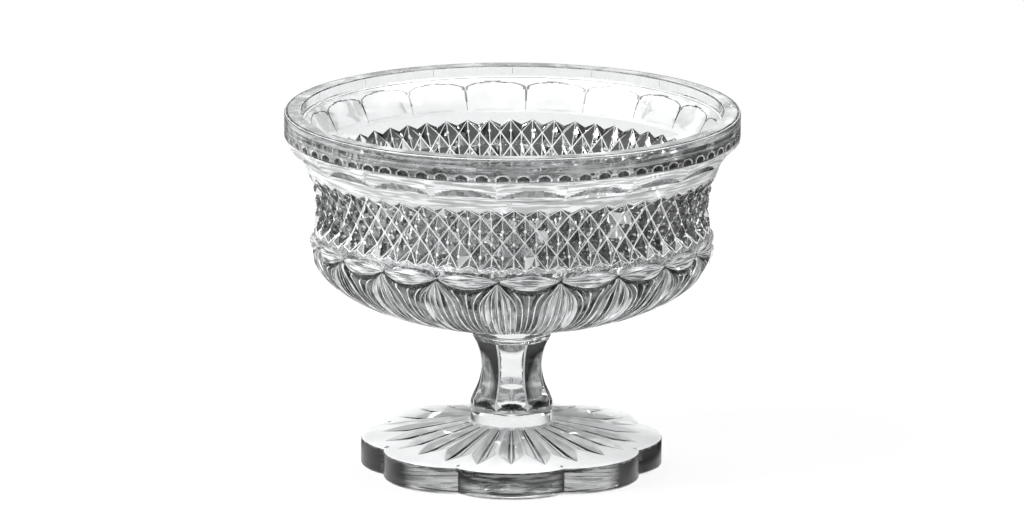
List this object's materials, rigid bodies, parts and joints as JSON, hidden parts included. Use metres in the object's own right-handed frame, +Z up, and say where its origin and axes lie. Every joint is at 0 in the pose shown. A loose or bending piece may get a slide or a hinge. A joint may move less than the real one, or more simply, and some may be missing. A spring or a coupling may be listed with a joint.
{
  "type": "footed crystal bowl",
  "caption": "Footed bowl of pressed clear crystal: fluted collar, diamond band, oval bosses and leaves on the cup, faceted stem, rayed and lobed foot.",
  "frame": {"origin": "centre of the foot's underside, on the surface that the bowl stands on", "axes": "+Z up along the stem; -Y is the front, where one lobe of the foot points"},
  "size_m": [0.182, 0.182, 0.145],
  "materials": {
    "crystal": "polished clear pressed crystal"
  },
  "bodies": {
    "root": {"foot": "crystal", "stem": "crystal", "wafer": "crystal", "bowl": "crystal"}
  },
  "joints": []
}
